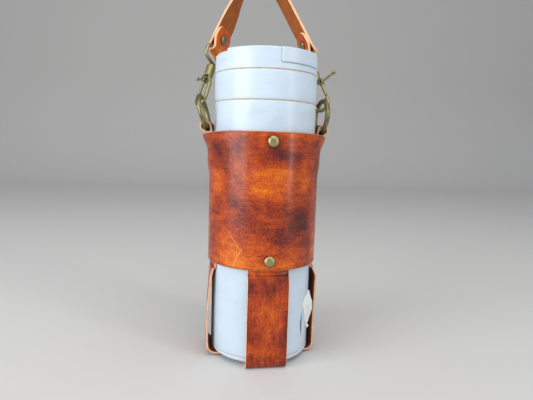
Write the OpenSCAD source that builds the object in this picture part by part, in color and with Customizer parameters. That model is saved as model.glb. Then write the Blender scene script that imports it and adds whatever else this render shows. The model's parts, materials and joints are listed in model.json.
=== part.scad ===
// Insulated canteen in a riveted leather holder with a snap-on carry strap.
// Units are millimetres, +Z is up, -Y is the front, and the origin is on the
// floor under the middle of the bottle.

/* [Bottle] */
// Outside diameter of the bottle and its lid
bottle_d = 76; // [75:0.5:76]
// Height of the bottle from its base to the lid's rim
bottle_h = 222.7; // [221:0.1:223]
// Height of the seam between the bottle and the lid
lid_seam_h = 187.7; // [186:0.1:189]
// Height of the seam between the lid's skirt and its top
top_seam_h = 208; // [206:0.5:209]
// Height of the moulded base cap
base_cap_h = 4; // [3.5:0.5:5]
// Width of the seams between moulded pieces
seam_w = 0.5; // [0.4:0.1:0.6]
// Thickness of the outer wall
wall = 1.2; // [1:0.1:1.4]
// Outside diameter of the inner wall
liner_d = 68; // [67:0.5:69]
// Rise of the lid's thread in one turn
thread_pitch = 3; // [3:0.1:3.2]

/* [Holder] */
// Thickness of the holder's leather
leather_t = 1.4; // [1.2:0.1:1.4]
// Width of the straps that cross under the bottle
strap_w = 30; // [26:0.5:30]
// Height of the sleeve's lower edge above the bottle's base
sleeve_low_h = 69.8; // [66:0.1:74]
// Height of the sleeve's upper edge above the bottle's base
sleeve_top_h = 166.7; // [164:0.1:168]
// How far the sleeve's upper edge flares out at the sides
sleeve_flare = 4; // [3.9:0.1:4.1]
// Distance of the rivets from the sleeve's edges
rivet_inset = 7; // [6.5:0.1:7.5]
// Diameter of a rivet's cap
rivet_d = 8; // [7:0.1:8]

/* [Rings and snaps] */
// Radius of a ring, to the middle of its wire
ring_r = 12.2; // [12:0.1:12.4]
// Radius of a ring's wire
ring_wire_r = 1.8; // [1.6:0.1:1.8]
// Radius of a hook's bend, to the middle of its wire
bend_r = 5.5; // [5.4:0.1:5.6]
// Radius of a hook's wire
hook_wire_r = 1.5; // [1.4:0.1:1.5]
// Length of a snap from its bend's centre to its eye's centre
snap_l = 36; // [35.5:0.1:36.5]
// Radius of a swivel eye's wire
eye_wire_r = 1.3; // [1.2:0.1:1.3]

/* [Carry strap] */
// Width of the carry strap
carry_w = 19; // [17:0.5:20]
// Thickness of the carry strap
carry_t = 2; // [1.8:0.1:2.2]
// Height of the strap's top above the ring pivots, along its own plane
carry_top = 134; // [130:1:136]
// How far the strap leans back from upright
carry_lean = 22; // [20:0.5:24]

/* [Hidden] */
$fn = 64;

tiny = 0.05;            // play between pieces that lie together
run_gap = 0.06;         // play of a pin in its bore
bottle_r = bottle_d / 2;
liner_r = liner_d / 2;
base_z = 2 * leather_t + 0.1;   // the bottle stands on both crossing straps

// ---------------------------------------------------------------- ribbons
// A ribbon is a closed skin over rows of points. Each row crosses the ribbon:
// first its m outer points, then its m inner points.
function ribbon_faces(n, m) = concat(
    [for (r = [0 : n - 2], j = [0 : m - 2]) each skin_pair(r, j, m)],
    [for (r = [0 : n - 2]) each edge_pair(r, m)],
    [for (j = [0 : m - 2]) each cap_pair(0, j, m, true)],
    [for (j = [0 : m - 2]) each cap_pair(n - 1, j, m, false)]
);
function at(r, j, m) = r * 2 * m + j;
function skin_pair(r, j, m) = [
    [at(r, j, m), at(r, j + 1, m), at(r + 1, j + 1, m)],
    [at(r, j, m), at(r + 1, j + 1, m), at(r + 1, j, m)],
    [at(r, m + j, m), at(r + 1, m + j + 1, m), at(r, m + j + 1, m)],
    [at(r, m + j, m), at(r + 1, m + j, m), at(r + 1, m + j + 1, m)]
];
function edge_pair(r, m) = [
    [at(r, 0, m), at(r + 1, 0, m), at(r + 1, m, m)],
    [at(r, 0, m), at(r + 1, m, m), at(r, m, m)],
    [at(r, m - 1, m), at(r + 1, 2 * m - 1, m), at(r + 1, m - 1, m)],
    [at(r, m - 1, m), at(r, 2 * m - 1, m), at(r + 1, 2 * m - 1, m)]
];
function cap_pair(r, j, m, first) = first
    ? [[at(r, j, m), at(r, m + j, m), at(r, m + j + 1, m)],
       [at(r, j, m), at(r, m + j + 1, m), at(r, j + 1, m)]]
    : [[at(r, j, m), at(r, m + j + 1, m), at(r, m + j, m)],
       [at(r, j, m), at(r, j + 1, m), at(r, m + j + 1, m)]];

module ribbon(rows) {
    polyhedron([for (row = rows) each row],
               ribbon_faces(len(rows), len(rows[0]) / 2));
}

function blend(x, low, high) =
    let(s = min(1, max(0, (x - low) / (high - low)))) s * s * (3 - 2 * s);

// ----------------------------------------------------------------- bottle
neck_r = 34.4;
neck_top = base_z + 204;
seam_z = base_z + lid_seam_h;
top_z = base_z + top_seam_h;
rim_z = base_z + bottle_h;
thread_depth = 1.1;
thread_turns = 1.2;

// A helical ridge on a cylinder of radius r, reaching out to r + depth, or
// in from it when depth is negative.
module thread_ridge(r, depth, z, turns) {
    steps = 40;
    root = r - sign(depth) * 0.3;
    crest = r + depth;
    side = sign(depth);
    ribbon([for (i = [0 : steps])
        let(t = i / steps,
            a = t * turns * 360,
            up = z + t * turns * thread_pitch,
            grow = min(1, 6 * t, 6 * (1 - t)),
            tip = root + (crest - root) * (0.35 + 0.65 * grow),
            c = cos(a),
            s = sin(a),
            low = [[tip * c, tip * s, up - 0.3], [root * c, root * s, up - 0.6]],
            high = [[tip * c, tip * s, up + 0.3], [root * c, root * s, up + 0.6]])
        side > 0 ? [low[0], high[0], low[1], high[1]]
                 : [high[0], low[0], high[1], low[1]]]);
}

module bottle_wall() {
    color("#dfe9f2")
    union() {
        difference() {
            translate([0, 0, base_z + base_cap_h + seam_w])
                cylinder(r = bottle_r, h = lid_seam_h - base_cap_h - 1.5 * seam_w);
            translate([0, 0, base_z])
                cylinder(r = bottle_r - wall, h = lid_seam_h - wall - seam_w / 2);
            translate([0, 0, base_z])
                cylinder(r = liner_r - 1, h = bottle_h);
        }
        // threaded neck
        difference() {
            translate([0, 0, seam_z - 3])
                cylinder(r = neck_r, h = neck_top - seam_z + 3);
            translate([0, 0, seam_z - 4])
                cylinder(r = liner_r - 1, h = 30);
        }
        thread_ridge(neck_r, thread_depth, seam_z + 6, thread_turns);
    }
}

module inner_wall() {
    color("silver")
    difference() {
        rotate_extrude()
            polygon([[0, base_z + 9], [liner_r - 9, base_z + 9],
                for (a = [-75 : 15 : 0])
                    [liner_r - 10 + 8.9 * cos(a), base_z + 18 + 9 * sin(a)],
                [liner_r - 1.1, neck_top - 0.2], [0, neck_top - 0.2]]);
        rotate_extrude()
            polygon([[0, base_z + 10], [liner_r - 9, base_z + 10],
                for (a = [-75 : 15 : 0])
                    [liner_r - 10 + 7.9 * cos(a), base_z + 18 + 8 * sin(a)],
                [liner_r - 2.1, bottle_h], [0, bottle_h]]);
    }
}

module base_cap() {
    corner = 3.2;
    color("#d5dfe8")
    rotate_extrude()
        polygon([[0, base_z],
            for (a = [-90 : 15 : 0])
                [bottle_r - corner + corner * cos(a), base_z + corner + corner * sin(a)],
            [bottle_r, base_z + base_cap_h],
            [bottle_r - wall - 0.2, base_z + base_cap_h],
            [bottle_r - wall - 0.2, base_z + 7],
            [bottle_r - wall - 1.4, base_z + 7],
            [bottle_r - wall - 1.4, base_z + 3],
            [0, base_z + 3]]);
}

// A loose corner of the bottle's outer wrap that has peeled away. Each station
// is [height above the base, first angle, last angle, how far it stands off].
flap_t = 0.6;
flap_steps = [[21, 60, 63, 0.4], [25, 57, 66, 1.8], [30, 54, 66.5, 3.2],
    [35, 51, 66.5, 3.9], [39, 48, 66.5, 3.6], [42, 50, 67, 2.6],
    [45, 58, 67.5, 1.4], [47.5, 64, 68, 0.5]];
function flap_row(s, off) = [for (j = [0 : 4])
    flap_point(s[1] + (s[2] - s[1]) * j / 4, base_z + s[0], off + s[3] * j / 4)];
module label_flap() {
    color("white")
    ribbon([for (s = flap_steps)
        concat(flap_row(s, 0.1 + flap_t), flap_row(s, 0.1))]);
}
function flap_point(a, z, off) =
    [(bottle_r + off) * sin(a), -(bottle_r + off) * cos(a), z];

// -------------------------------------------------------------------- lid
pad_from = 7;
pad_to = 62;
pad_h = 10;
pad_proud = 0.3; // how far the pad stands out of the lid's side
notch_from = -100;
notch_to = -55;

// A sector of a ring around the Z axis, from angle a0 to a1 as seen from the
// front, where 0 is the front and positive is towards +X.
module sector(r0, r1, z0, z1, a0, a1) {
    rotate([0, 0, a0 - 90])
        rotate_extrude(angle = a1 - a0)
            translate([r0, z0])
                square([r1 - r0, z1 - z0]);
}

module lid_skirt() {
    color("#dfe9f2")
    union() {
        difference() {
            translate([0, 0, seam_z + seam_w / 2])
                cylinder(r = bottle_r, h = top_z - seam_z - seam_w);
            translate([0, 0, seam_z])
                cylinder(r = bottle_r - 2, h = 30);
        }
        thread_ridge(bottle_r - 2, -thread_depth, seam_z + 4.5, thread_turns);
    }
}

module lid_top() {
    color("#dfe9f2")
    difference() {
        union() {
            translate([0, 0, top_z + seam_w / 2])
                cylinder(r = bottle_r, h = rim_z - top_z - seam_w / 2 - 1);
            translate([0, 0, rim_z - 1])
                cylinder(r1 = bottle_r, r2 = bottle_r - 0.8, h = 1);
            translate([0, 0, top_z - 3])
                cylinder(r = bottle_r - 2.1, h = 4);
        }
        // dished top
        translate([0, 0, rim_z - 2.5])
            cylinder(r = bottle_r - 3, h = 3);
        // hollow underneath
        translate([0, 0, top_z - 4])
            cylinder(r = bottle_r - 4, h = rim_z - top_z - 1.5);
        // notch at the left side of the rim
        sector(bottle_r - 1.4, bottle_r + 1, rim_z - 7.5, rim_z + 1, notch_from, notch_to);
        // recess for the grip pad
        sector(bottle_r - 1.6, bottle_r + 1, rim_z - pad_h - 0.3, rim_z + 1,
               pad_from - 0.6, pad_to + 0.6);
    }
}

module grip_pad() {
    color("#e6eef5")
    sector(bottle_r - 1.55, bottle_r + pad_proud, rim_z - pad_h, rim_z + 0.1,
           pad_from, pad_to);
}

module lid_plug() {
    plug_r = liner_r - 3;
    color("#c9d3dc")
    difference() {
        union() {
            translate([0, 0, neck_top - 22])
                cylinder(r = plug_r, h = 24.2);
            translate([0, 0, neck_top + 1.6])
                cylinder(r = bottle_r - 4.1, h = top_z - neck_top - 0.2);
        }
        translate([0, 0, neck_top - 20])
            cylinder(r = plug_r - 1.5, h = 20);
    }
}

module lid_seal() {
    color("#9aa2a8")
    difference() {
        translate([0, 0, neck_top + tiny])
            cylinder(r = neck_r - 0.6, h = 1.5);
        translate([0, 0, neck_top - 1])
            cylinder(r = liner_r - 2.8, h = 4);
    }
}

// ----------------------------------------------------------------- holder
strap_r = bottle_r + 0.3;               // inner radius of the straps on the bottle
sleeve_r = strap_r + leather_t + tiny;  // inner radius of the sleeve
sleeve_low = base_z + sleeve_low_h;
sleeve_top = base_z + sleeve_top_h;
rivet_low = sleeve_low + rivet_inset;
rivet_top = sleeve_top - rivet_inset;
seam_rivet_a = 11;                      // angle of the back rivets from the seam
loop_rivet_z = sleeve_top - 13;

// How far the sleeve stands out beyond its plain radius: over the doubled
// strap at the sides, and where its upper edge flares.
function sleeve_out(a, z) =
    pow(abs(sin(a)), 5) * ((leather_t + tiny) * blend(z, sleeve_top - 34, sleeve_top - 22)
        + sleeve_flare * pow(blend(z, sleeve_top - 20, sleeve_top), 2));
// The upper edge dips a little where the ring loops pass over it.
side_dip = 2.2;
function sleeve_point(a, z, t) =
    let(r = sleeve_r + sleeve_out(a, z) + t,
        dip = side_dip * pow(abs(sin(a)), 8) * blend(z, sleeve_top - 20, sleeve_top))
    [r * sin(a), -r * cos(a), z - dip];

sleeve_heights = [sleeve_low, sleeve_top - 36, sleeve_top - 31, sleeve_top - 26,
    sleeve_top - 21, sleeve_top - 15, sleeve_top - 10, sleeve_top - 6,
    sleeve_top - 3, sleeve_top];

module sleeve() {
    color("#9a3d14")
    difference() {
        ribbon([for (i = [0 : 72])
            let(a = -179.5 + i * 359 / 72)
            concat([for (z = sleeve_heights) sleeve_point(a, z, leather_t)],
                   [for (z = sleeve_heights) sleeve_point(a, z, 0)])]);
        sleeve_rivet_holes();
    }
}

// Puts its children at every sleeve rivet, with +Z pointing outwards.
module at_sleeve_rivets() {
    for (a = [0, 180 - seam_rivet_a, 180 + seam_rivet_a], z = [rivet_low, rivet_top])
        translate([0, 0, z])
            rotate([0, 0, a])
                rotate([90, 0, 0])
                    children();
}
post_r = 1.3;
module sleeve_rivet_holes() {
    at_sleeve_rivets()
        cylinder(r = post_r + tiny, h = 60, $fn = 24);
}

module rivet_cap(d, h) {
    rotate_extrude()
        polygon([[0, 0], [d / 2 - 0.2, 0], [d / 2, 0.3],
            for (a = [15 : 15 : 90])
                [d / 2 * cos(a), 0.3 + (h - 0.3) * sin(a)]]);
}

module sleeve_rivet_caps() {
    color("#8f8350")
    at_sleeve_rivets()
        translate([0, 0, sleeve_r + leather_t + 0.1])
            rivet_cap(rivet_d, 1.6);
}

module sleeve_rivet_posts() {
    color("#8f8350")
    at_sleeve_rivets()
        union() {
            translate([0, 0, strap_r - 0.1])
                cylinder(r = post_r, h = sleeve_r + leather_t - strap_r + 0.15, $fn = 24);
            translate([0, 0, strap_r - 0.15])
                cylinder(r = 3.2, h = 0.6, $fn = 32);
        }
}
module sleeve_rivet_seats() {
    at_sleeve_rivets() {
        cylinder(r = post_r + tiny, h = 60, $fn = 24);
        cylinder(r = 3.25, h = strap_r + 0.5, $fn = 32);
    }
}

// A strap arm is swept over stations [out, z, tilt, hug, half_w, slope]: where
// the middle of the face nearest the bottle is, the angle of the strap's
// normal above the horizontal, how far its width follows the bottle's
// roundness, half its width, and how much one edge stands further out.
across = [-1, -0.75, -0.5, -0.25, 0, 0.25, 0.5, 0.75, 1];
half_w = strap_w / 2;
function hug_depth(u) = strap_r - sqrt(strap_r * strap_r - u * u);
function arm_point(s, u, t, dir) =
    let(out = s[0] - s[3] * hug_depth(u) + u * s[5] + t * cos(s[2]))
    [dir * out, dir * u, s[1] + t * sin(s[2])];
function arm_row(s, dir) = concat(
    [for (k = across) arm_point(s, k * s[4], leather_t, dir)],
    [for (k = across) arm_point(s, k * s[4], 0, dir)]);
// Reverses the width order of a row, so that a sweep keeps its handedness.
function mirrored(row) = let(m = len(row) / 2)
    concat([for (j = [m - 1 : -1 : 0]) row[j]], [for (j = [m - 1 : -1 : 0]) row[m + j]]);
module two_arms(left, right) {
    ribbon(concat(
        [for (i = [len(left) - 1 : -1 : 0]) mirrored(arm_row(left[i], -1))],
        [for (s = right) arm_row(s, 1)]));
}

// Stations of one arm: under the bottle, round the corner, up the side with
// a bow, and inside the sleeve. The arm starts to close in on the bottle
// `ease` below the sleeve, and `turned` is its slope along the side.
arm_base_z = 14;
function arm_under(top, out) = let(r = out - strap_r + 3.5) concat(
    [for (x = [12, 24]) [x, top, -90, 0, half_w, 0]],
    [for (a = [-90 : 15 : 0])
        [out - r + r * cos(a), top + r + r * sin(a), a, 0, half_w, 0]]);
function arm_up(out, bow, ease, turned) = [for (z = [arm_base_z : 6.8 : sleeve_low - 4])
    [out + bow * blend(z, sleeve_low - 42, sleeve_low - 14) + (strap_r - out - bow)
         * blend(z, sleeve_low - ease, sleeve_low - 1), z, 0,
     blend(z, sleeve_low - 8, sleeve_low - 1), half_w,
     turned * blend(z, 6, 24) * (1 - blend(z, sleeve_low - 34, sleeve_low - 8))]];
function arm_in_sleeve(top) = [for (z = [sleeve_low - 0.8, sleeve_low + 40, top])
    [strap_r, z, 0, 1, half_w, 0]];

module front_strap() {
    arm = concat(arm_under(leather_t, strap_r + 0.3), arm_up(strap_r + 0.3, 0, 12, 0),
                 arm_in_sleeve(sleeve_top - 2.5));
    color("#93400f")
    difference() {
        rotate([0, 0, -90])
            two_arms(arm, arm);
        sleeve_rivet_seats();
    }
}

// The side strap's arms go on above the sleeve as narrow tabs. Each tab goes
// over the lower side of a ring and back down inside the sleeve.
tab_half_w = 6;
loop_r = 2.9;                   // hollow of the loop
loop_out = strap_r + 1 + loop_r + leather_t;
loop_z = sleeve_top + 3;
tab_end_z = loop_rivet_z - 6;
ply_out = strap_r + 2 * leather_t + tiny;   // outer face of the doubled strap
function tab(slope) = concat(
    [[strap_r, sleeve_top - 9.5, 0, 1, 10.5, 0],
     [strap_r, sleeve_top - 7, 0, 1, tab_half_w, 0],
     [strap_r + 0.5, sleeve_top - 3, 0, 0.8, tab_half_w, slope / 3]],
    [for (a = [180 : -22.5 : 0])
        [loop_out + (loop_r + leather_t) * cos(a), loop_z + (loop_r + leather_t) * sin(a),
         a - 180, 0, tab_half_w, slope]],
    [[ply_out + 6.4, sleeve_top + 0.9, -198, 0, tab_half_w, slope * 0.8],
     [ply_out + 4.7, sleeve_top - 0.9, -230, 0.4, tab_half_w, slope * 0.6],
     [ply_out + 2.5, sleeve_top - 2.7, -235, 1, tab_half_w, slope * 0.2],
     [ply_out + 0.9, sleeve_top - 4.4, -215, 1, tab_half_w, 0],
     [ply_out + 0.1, sleeve_top - 6.6, -192, 1, tab_half_w, 0],
     [ply_out, sleeve_top - 9, -180, 1, tab_half_w, 0],
     [ply_out, tab_end_z, -180, 1, tab_half_w, 0]]);
function side_arm(out, bow, ease, turned, slope) = concat(
    arm_under(2 * leather_t, out), arm_up(out, bow, ease, turned),
    arm_in_sleeve(sleeve_top - 12), tab(slope));

module side_strap() {
    color("#8a3210")
    difference() {
        two_arms(side_arm(strap_r + 2.3, 0, 45, 0.03, tan(-left_twist)),
                 side_arm(strap_r + 1.2, 0.7, 12, 0, -tan(right_twist)));
        at_loop_rivets() {
            cylinder(r = post_r + tiny, h = 60, $fn = 24);
            cylinder(r = 3.05, h = strap_r + 0.55, $fn = 32);
            translate([0, 0, ply_out - 0.6])
                cylinder(r = 3.05, h = 5, $fn = 32);
        }
    }
}
module at_loop_rivets() {
    for (side = [-1, 1])
        translate([0, 0, loop_rivet_z])
            rotate([0, side * 90, 0])
                children();
}
module loop_rivets() {
    color("#8f8350")
    at_loop_rivets()
        union() {
            translate([0, 0, strap_r - 0.15])
                cylinder(r = 3, h = 0.65, $fn = 32);
            translate([0, 0, strap_r])
                cylinder(r = post_r, h = ply_out - strap_r - 0.1, $fn = 24);
            translate([0, 0, ply_out - 0.55])
                cylinder(r = 3, h = 0.5, $fn = 32);
        }
}

// ------------------------------------------------------------------ rings
pivot_z = base_z + 180;       // height of the rings' centres
left_x = -46;
left_lean = 15;                 // how far the top of the ring leans out
left_twist = -12;               // turn of the ring about the vertical
right_x = 43.9;
right_lean = 4;
right_twist = 6;

module wire_ring(r, wire_r) {
    rotate_extrude()
        translate([r, 0])
            circle(r = wire_r, $fn = 32);
}
module ring(x, lean, twist) {
    color("#a3955a")
    translate([x, 0, pivot_z])
        rotate([0, 0, twist])
            rotate([0, 90 + sign(x) * lean, 0])
                wire_ring(ring_r, ring_wire_r);
}
module ring_left() { ring(left_x, left_lean, left_twist); }
module ring_right() { ring(right_x, right_lean, right_twist); }

// ------------------------------------------------------------------ snaps
// The strap, its snaps and their eyes lie in one plane that leans back on the
// rings' centres. In that plane x runs sideways and z runs up the strap.
module leaning() {
    translate([0, 0, pivot_z])
        rotate([-carry_lean, 0, 0])
            children();
}
left_bend = [-47.9, 0.6, 12];   // the bend of the left hook, round its ring
left_tip = 15;                  // slant of the left snap
left_hook_turn = 124;           // turn of the left hook about its own axis
left_eye_turn = -30;
right_bend = [44.6, 0, 11.5];
right_tip = -8;
right_hook_turn = -35;
right_eye_turn = 0;
module left_snap(turn) {
    leaning()
        translate(left_bend)
            rotate([0, left_tip, 0])
                rotate([0, 0, turn])
                    children();
}
module right_snap(turn) {
    leaning()
        translate(right_bend)
            rotate([0, right_tip, 0])
                rotate([0, 0, turn])
                    children();
}

// In a snap's own frame the ring passes along Y through the origin, the eye
// is up at z = snap_l, and the gate and its thumb lever are on the +X side.
barrel_r = 3.4;
barrel_z = 19;
barrel_h = 9;
post_bore_r = 1.36;
gate_pivot = [3.5, 0, 17];
knuckle_r = 1.8;
pin_r = 0.8;
ear_in = 1.3;                   // from the middle to an ear's inner face
ear_t = 1;

module rod(a, b, r) {
    d = b - a;
    translate(a)
        rotate([0, acos(d[2] / norm(d)), atan2(d[1], d[0])])
            cylinder(r = r, h = norm(d), $fn = 32);
}
module cross_rod(at, r, half_l) {
    translate([at[0], half_l, at[2]])
        rotate([90, 0, 0])
            cylinder(r = r, h = 2 * half_l, $fn = 32);
}
module hook() {
    color("#978a52")
    difference() {
        union() {
            rotate([90, 0, 0])
                rotate([0, 0, 180])
                    rotate_extrude(angle = 180)
                        translate([bend_r, 0])
                            circle(r = hook_wire_r, $fn = 32);
            rod([-bend_r, 0, 0], [-bend_r, 0, 11], hook_wire_r);
            translate([-bend_r, 0, 11])
                sphere(r = hook_wire_r + 0.1, $fn = 32);
            rod([-bend_r, 0, 11], [-1, 0, 20], hook_wire_r);
            rod([bend_r, 0, 0], [bend_r, 0, 3], hook_wire_r);
            translate([bend_r, 0, 3])
                sphere(r = hook_wire_r + 0.1, $fn = 32);
            translate([0, 0, barrel_z])
                cylinder(r = barrel_r, h = barrel_h);
            cross_rod(gate_pivot, knuckle_r + 0.3, ear_in + ear_t);
            translate([0, -ear_in - ear_t, gate_pivot[2]])
                cube([gate_pivot[0] + 1.8, 2 * (ear_in + ear_t), barrel_z + 1 - gate_pivot[2]]);
        }
        // slot for the gate's knuckle and lever
        translate([0.6, -ear_in, gate_pivot[2] - 4])
            cube([8, 2 * ear_in, 6.2]);
        cross_rod(gate_pivot, pin_r + 0.02, 8);
        // bore and chamber for the eye's post
        translate([0, 0, barrel_z + 5])
            cylinder(r = post_bore_r, h = 8);
        translate([0, 0, barrel_z + 2.6])
            cylinder(r = 2.4, h = 2.6);
    }
}
module gate() {
    color("#857846")
    difference() {
        union() {
            cross_rod(gate_pivot, knuckle_r, ear_in - 0.1);
            rod(gate_pivot, [bend_r - 0.2, 0, 6.2], 1.15);
            translate([bend_r - 0.2, 0, 6.2])
                sphere(r = 1.25, $fn = 32);
            rod(gate_pivot, [15.2, 0, 21.4], 0.95);
            translate([15.4, 0, 21.5])
                sphere(r = 1.5, $fn = 32);
        }
        cross_rod(gate_pivot, pin_r + run_gap, 8);
    }
}
module gate_pin() {
    color("#6f6438")
    cross_rod(gate_pivot, pin_r, ear_in + ear_t + 0.2);
}
module hook_left() { left_snap(left_hook_turn) hook(); }
module hook_right() { right_snap(right_hook_turn) hook(); }
module gate_left() { left_snap(left_hook_turn) gate(); }
module gate_right() { right_snap(right_hook_turn) gate(); }
module gate_pin_left() { left_snap(left_hook_turn) gate_pin(); }
module gate_pin_right() { right_snap(right_hook_turn) gate_pin(); }

// The eye is a flat oblong loop with rounded corners on a headed post.
eye_half_w = 11.3;
eye_half_h = 5;
eye_corner = 3.5;
module eye() {
    color("#a3955a")
    union() {
        for (x = [-1, 1], z = [-1, 1])
            translate([0, x * (eye_half_w - eye_corner), snap_l + z * (eye_half_h - eye_corner)])
                rotate([0, 90, 0])
                    rotate([0, 0, x > 0 ? (z > 0 ? 90 : 0) : (z > 0 ? 180 : 270)])
                        rotate_extrude(angle = 90)
                            translate([eye_corner, 0])
                                circle(r = eye_wire_r, $fn = 24);
        for (z = [-1, 1])
            rod([0, eye_corner - eye_half_w, snap_l + z * eye_half_h],
                [0, eye_half_w - eye_corner, snap_l + z * eye_half_h], eye_wire_r);
        for (y = [-1, 1])
            rod([0, y * eye_half_w, snap_l + eye_corner - eye_half_h],
                [0, y * eye_half_w, snap_l + eye_half_h - eye_corner], eye_wire_r);
        translate([0, 0, barrel_z + 4])
            cylinder(r = post_bore_r - run_gap, h = snap_l - eye_half_h - barrel_z - 4);
        translate([0, 0, barrel_z + 3])
            cylinder(r = 2.1, h = 1.7);
        translate([0, 0, barrel_z + barrel_h + 0.3])
            cylinder(r1 = 2.6, r2 = 1.6, h = 2);
    }
}
module eye_left() { left_snap(left_eye_turn) eye(); }
module eye_right() { right_snap(right_eye_turn) eye(); }

// ------------------------------------------------------------ carry strap
// The strap's ends go round the eyes' upper bars, and its middle is bent over
// a small radius at the top. Positions are in the leaning plane.
crown_r = 8;                    // inside radius of the bend at the top
left_bar = left_bend + (snap_l + eye_half_h) * [sin(left_tip), 0, cos(left_tip)];
right_bar = right_bend + (snap_l + eye_half_h) * [sin(right_tip), 0, cos(right_tip)];
crown = [0, 0, carry_top - crown_r - carry_t];
// Slant of a leg from upright, so that it runs tangent to the bend.
function leg_slant(bar) = let(dx = abs(bar[0] - crown[0]), dz = crown[2] - bar[2])
    atan2(dx, dz) - asin(crown_r / norm([dx, dz]));
function leg_len(bar) = let(dx = abs(bar[0] - crown[0]), dz = crown[2] - bar[2])
    sqrt(dx * dx + dz * dz - crown_r * crown_r);
carry_half_w = carry_w / 2;
wrap_r = eye_wire_r + 0.45;
tail_l = 21;

// A point of the strap on one side (-1 left, 1 right): d along the leg from
// the bar, n across it towards the outside and u along its width, both turned
// about the leg by turn.
function leg_point(bar, side, slant, turn, n, d, u) =
    let(across_n = n * cos(turn) - u * sin(turn),
        across_u = n * sin(turn) + u * cos(turn))
    [bar[0] + side * across_n * cos(slant) - side * d * sin(slant),
     bar[1] + across_u,
     bar[2] + across_n * sin(slant) + d * cos(slant)];
// Rows of one end, from the tail's tip round the bar and up the leg. Each
// station is [n, d, angle of the thickness, half width].
tail_steps = [[-0.05, tail_l, 180, 3], [-0.05, tail_l - 0.8, 180, 5.5],
    [-0.05, tail_l - 2.4, 180, 7.8], [-0.05, tail_l - 5, 180, 9.2], [-0.05, 8.5, 180, 9.4],
    [-0.5, 6, 188, 9], [-1.4, 2.8, 192, 8.1]];
leg_steps = [[1.4, 2.8, -12, 8.1], [0.5, 6, -8, 9], [0.05, 9, 0, 9.5],
    [0.05, 20, 0, 9.5], [0.05, 32, 0, 9.5], [0.05, 44, 0, 9.5], [0.05, 56, 0, 9.5]];
wrap_steps = [for (a = [180 : 30 : 360]) [wrap_r * cos(a), wrap_r * sin(a), a, 7.8]];
carry_across = [-1, -0.5, 0, 0.5, 1];
function end_rows(bar, side, turn) =
    let(slant = leg_slant(bar), total = leg_len(bar))
    [for (s = concat(tail_steps, wrap_steps, leg_steps))
        let(now = side * turn * (1 - blend(s[1], 24, total - 6)))
        concat(
            [for (k = carry_across) leg_point(bar, side, slant, now,
                s[0] + carry_t * cos(s[2]), s[1] + carry_t * sin(s[2]), k * s[3])],
            [for (k = carry_across) leg_point(bar, side, slant, now,
                s[0], s[1], k * s[3])])];
function crown_row(a) = concat(
    [for (k = carry_across) [crown[0] + (crown_r + carry_t) * cos(a), k * carry_half_w,
                             crown[2] + (crown_r + carry_t) * sin(a)]],
    [for (k = carry_across) [crown[0] + crown_r * cos(a), k * carry_half_w,
                             crown[2] + crown_r * sin(a)]]);
module carry_strap() {
    left_rows = end_rows(left_bar, -1, left_eye_turn);
    right_rows = end_rows(right_bar, 1, right_eye_turn);
    from_a = 180 - leg_slant(left_bar);
    to_a = leg_slant(right_bar);
    color("#9c4a14")
    leaning()
        difference() {
            ribbon(concat(
                left_rows,
                [for (i = [0 : 8]) crown_row(from_a + (to_a - from_a) * i / 8)],
                [for (i = [len(right_rows) - 1 : -1 : 0]) right_rows[i]]));
            strap_rivet_places()
                translate([0, 0, -6])
                    cylinder(r = post_r + tiny, h = 12, $fn = 24);
        }
}
// Puts its children at the strap's rivets, with +Z towards the inside of the
// strap and the origin between its two plies.
strap_rivet_d = 12;
module strap_rivet_places() {
    for (end = [[left_bar, -1, left_eye_turn], [right_bar, 1, right_eye_turn]]) {
        slant = leg_slant(end[0]);
        translate(leg_point(end[0], end[1], slant, end[2], 0, strap_rivet_d, 0))
            rotate([0, -end[1] * slant, 0])
                rotate([0, 0, -end[1] * end[2]])
                    rotate([0, -end[1] * 90, 0])
                        children();
    }
}
module strap_rivet_caps() {
    color("#55504a")
    leaning()
        strap_rivet_places()
            for (side = [0, 1])
                mirror([0, 0, side])
                    translate([0, 0, carry_t + 0.1])
                        rivet_cap(7.5, 1.5);
}
module strap_rivet_posts() {
    color("#55504a")
    leaning()
        strap_rivet_places()
            translate([0, 0, -carry_t - 0.1])
                cylinder(r = post_r, h = 2 * carry_t + 0.2, $fn = 24);
}

bottle_wall();
inner_wall();
base_cap();
label_flap();
lid_skirt();
lid_top();
lid_plug();
grip_pad();
lid_seal();
sleeve();
front_strap();
side_strap();
sleeve_rivet_caps();
sleeve_rivet_posts();
loop_rivets();
ring_left();
ring_right();
hook_left();
hook_right();
gate_left();
gate_right();
gate_pin_left();
gate_pin_right();
eye_left();
eye_right();
carry_strap();
strap_rivet_caps();
strap_rivet_posts();
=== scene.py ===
"""Looks of the insulated canteen in its riveted leather holder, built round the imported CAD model.

Lengths in this script are millimetres and turn into metres where a mesh is made.
Angles round the bottle are degrees from the front, positive towards +X.
"""

import json
import math

import bmesh
import bpy
import numpy as np
from mathutils import Matrix, Vector, noise


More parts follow.
